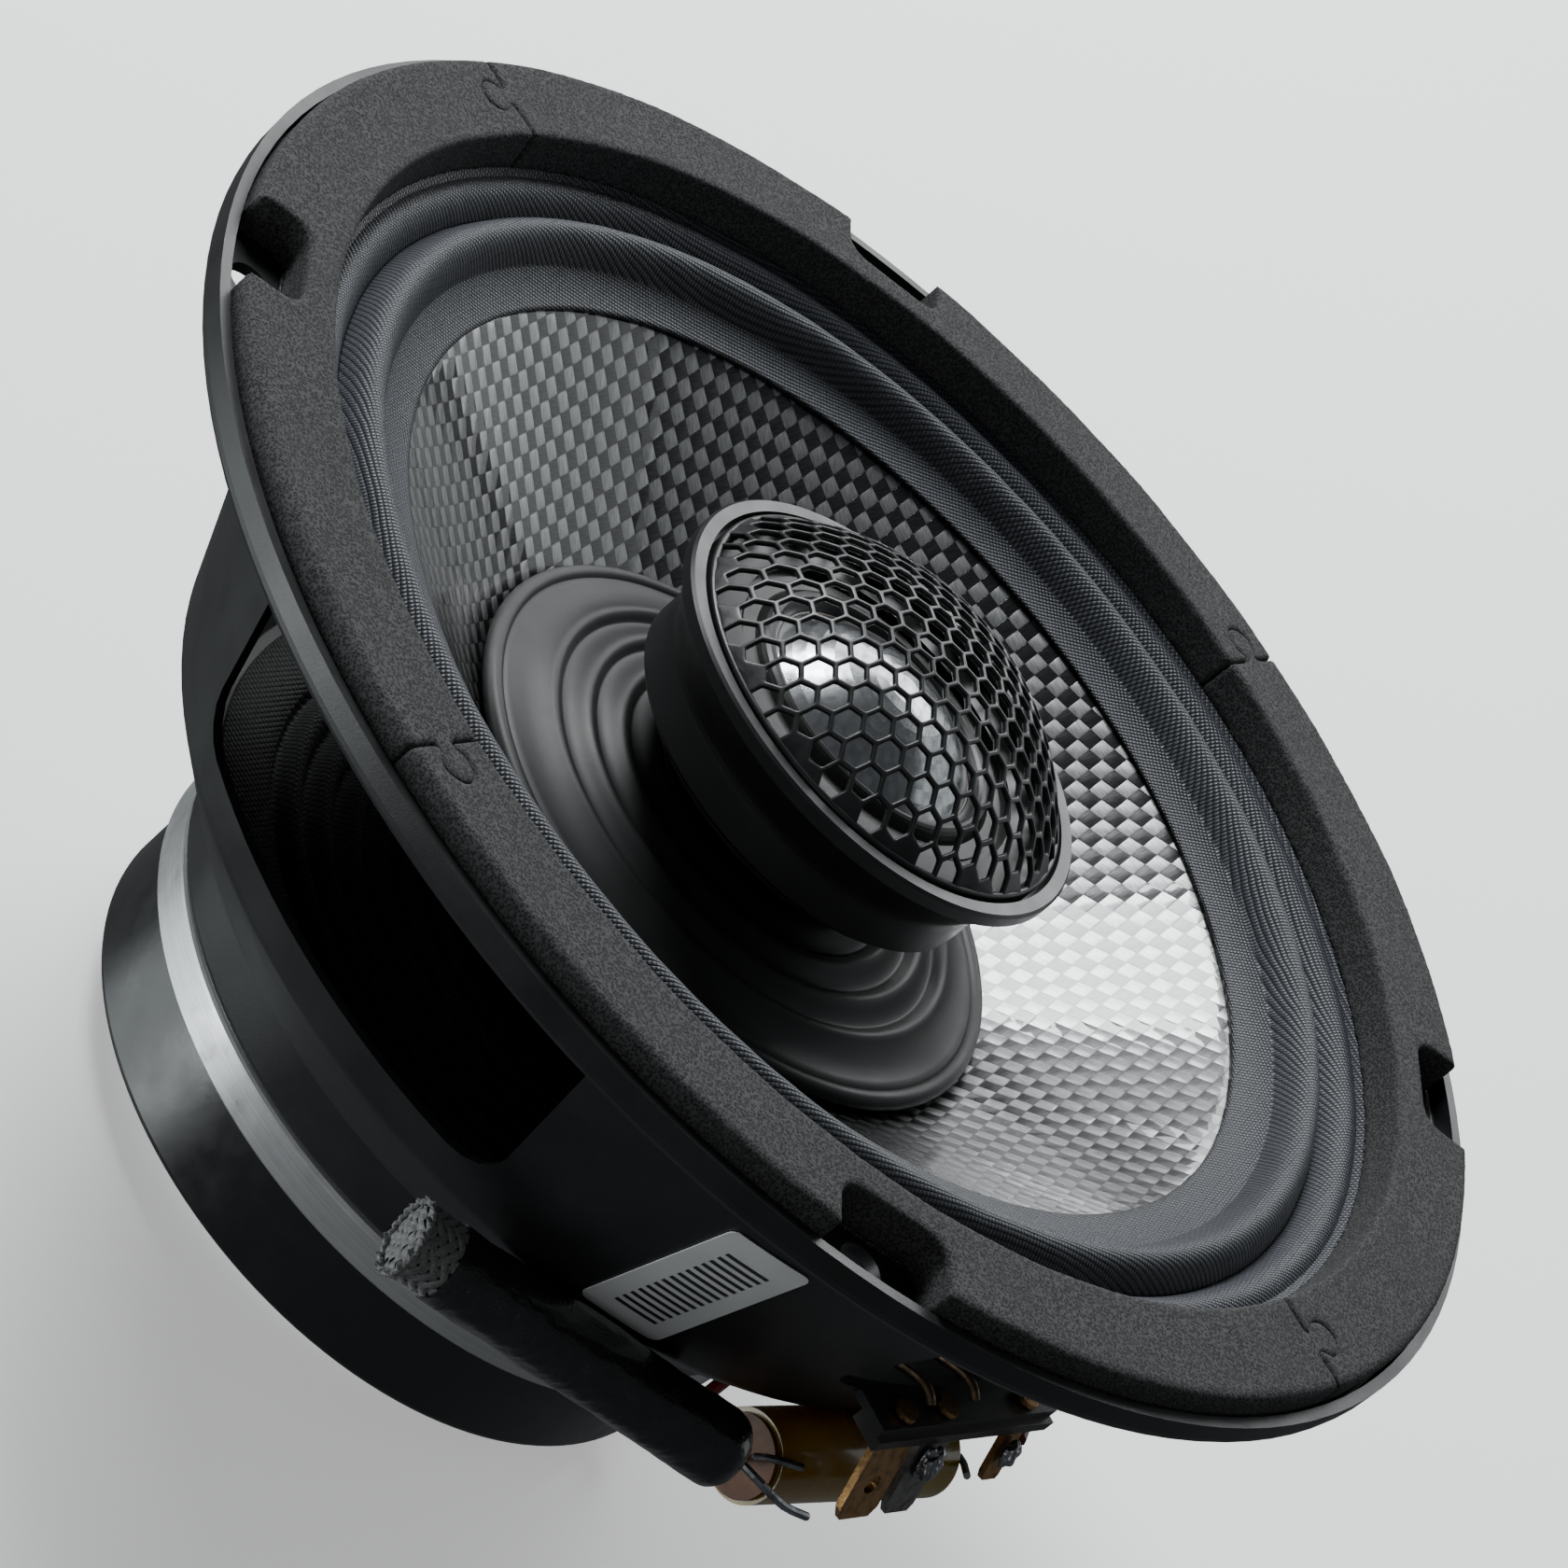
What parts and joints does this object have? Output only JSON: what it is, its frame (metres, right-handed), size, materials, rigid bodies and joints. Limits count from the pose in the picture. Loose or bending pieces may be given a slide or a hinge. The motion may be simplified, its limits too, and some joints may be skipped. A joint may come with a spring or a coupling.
{
  "type": "coaxial car speaker",
  "caption": "Two-way coaxial car speaker: woven cone in a windowed steel basket with a ferrite magnet, and a small dome tweeter under a round hex-mesh grille on a post in front of it.",
  "frame": {"origin": "centre of the mounting flange's flat back face, which is the plane that seats on the panel", "axes": "+Z is the speaker's axis, towards the listener. +X points out of the basket window that carries the terminals, and +Y completes the right-handed frame. The screw holes stand on the diagonals."},
  "size_m": [0.166, 0.166, 0.0916],
  "materials": {
    "basket_paint": "satin black powder coat with a fine texture",
    "foam": "charcoal open-cell foam, matte",
    "surround_cloth": "coated woven cloth, blue-black, slight sheen on the rolls",
    "spider_cloth": "black resin-dipped woven cloth",
    "woven_cone": "silver and black basket weave under a clear gloss coat",
    "boot_rubber": "satin black rubber",
    "coil_paper": "amber polyimide former",
    "copper": "enamelled copper wire",
    "zinc_plate": "bright zinc plating, turned edge",
    "ferrite_paint": "glossy black paint over ferrite",
    "shorting_aluminium": "plain turned",
    "post_plastic": "satin black moulding",
    "housing_plastic": "satin black moulding",
    "magnet_nickel": "nickel plating",
    "grille_steel": "gloss black paint on perforated steel",
    "grille_felt": "black felt",
    "dome_film": "thin metallised film, satin",
    "phenolic": "dark brown laminate",
    "terminal_brass": "yellow plating, slightly tarnished",
    "terminal_tin": "tinned, slightly tarnished",
    "solder": "bright solder",
    "cap_film": "amber yellow wrapped film",
    "cap_epoxy": "brown epoxy",
    "ferrite_bare": "bare ferrite",
    "glass_braid": "grey varnished glass-fibre braid",
    "shrink_tube": "wrinkled black shrink tube with glue on it",
    "glue": "glossy black glue",
    "wire_red": "red insulation",
    "tinsel": "braided tinsel wire",
    "label_paper": "blank white label",
    "rivet_steel": "zinc-plated steel"
  },
  "bodies": {
    "frame": {"basket": "basket_paint", "gasket_segment_1": "foam", "gasket_segment_2": "foam", "gasket_segment_3": "foam", "gasket_segment_4": "foam", "surround": "surround_cloth", "spider": "spider_cloth", "top_plate": "zinc_plate", "plate_rivets": "rivet_steel", "ferrite_magnet": "ferrite_paint", "t_yoke": "zinc_plate", "shorting_ring": "shorting_aluminium", "tweeter_post": "post_plastic", "post_screw": "rivet_steel", "tweeter_housing": "housing_plastic", "tweeter_yoke": "zinc_plate", "tweeter_magnet": "magnet_nickel", "tweeter_plate": "zinc_plate", "tweeter_face_ring": "housing_plastic", "grille_pad": "grille_felt", "tweeter_grille": "grille_steel", "tweeter_surround": "surround_cloth", "terminal_strip": "phenolic", "strip_rivets": "terminal_brass", "positive_terminal": "terminal_brass", "negative_terminal": "terminal_tin", "spare_terminal": "terminal_brass", "solder_joints": "solder", "capacitor": "cap_film", "capacitor_ends": "cap_epoxy", "capacitor_leads": "solder", "choke_core": "ferrite_bare", "braided_sleeve": "glass_braid", "shrink_sleeve": "shrink_tube", "choke_lead": "solder", "glue_bead": "glue", "tinsel_leads": "tinsel", "tweeter_leads": "wire_red", "label": "label_paper"},
    "cone_assembly": {"cone": "woven_cone", "dust_boot": "boot_rubber", "coil_former": "coil_paper", "coil_winding": "copper"},
    "tweeter_diaphragm": {"tweeter_dome": "dome_film", "tweeter_former": "coil_paper", "tweeter_winding": "copper"}
  },
  "joints": [
    {"name": "cone_travel", "type": "slide", "parent": "frame", "child": "cone_assembly", "axis": [0, 0, 1], "range_m": [-0.003, 0.003], "stiffness_N_per_m": 2500, "deforming": ["surround", "spider", "tinsel_leads"]},
    {"name": "tweeter_travel", "type": "slide", "parent": "frame", "child": "tweeter_diaphragm", "axis": [0, 0, 1], "range_m": [-0.0003, 0.0003], "stiffness_N_per_m": 1000, "deforming": ["tweeter_surround"]}
  ]
}
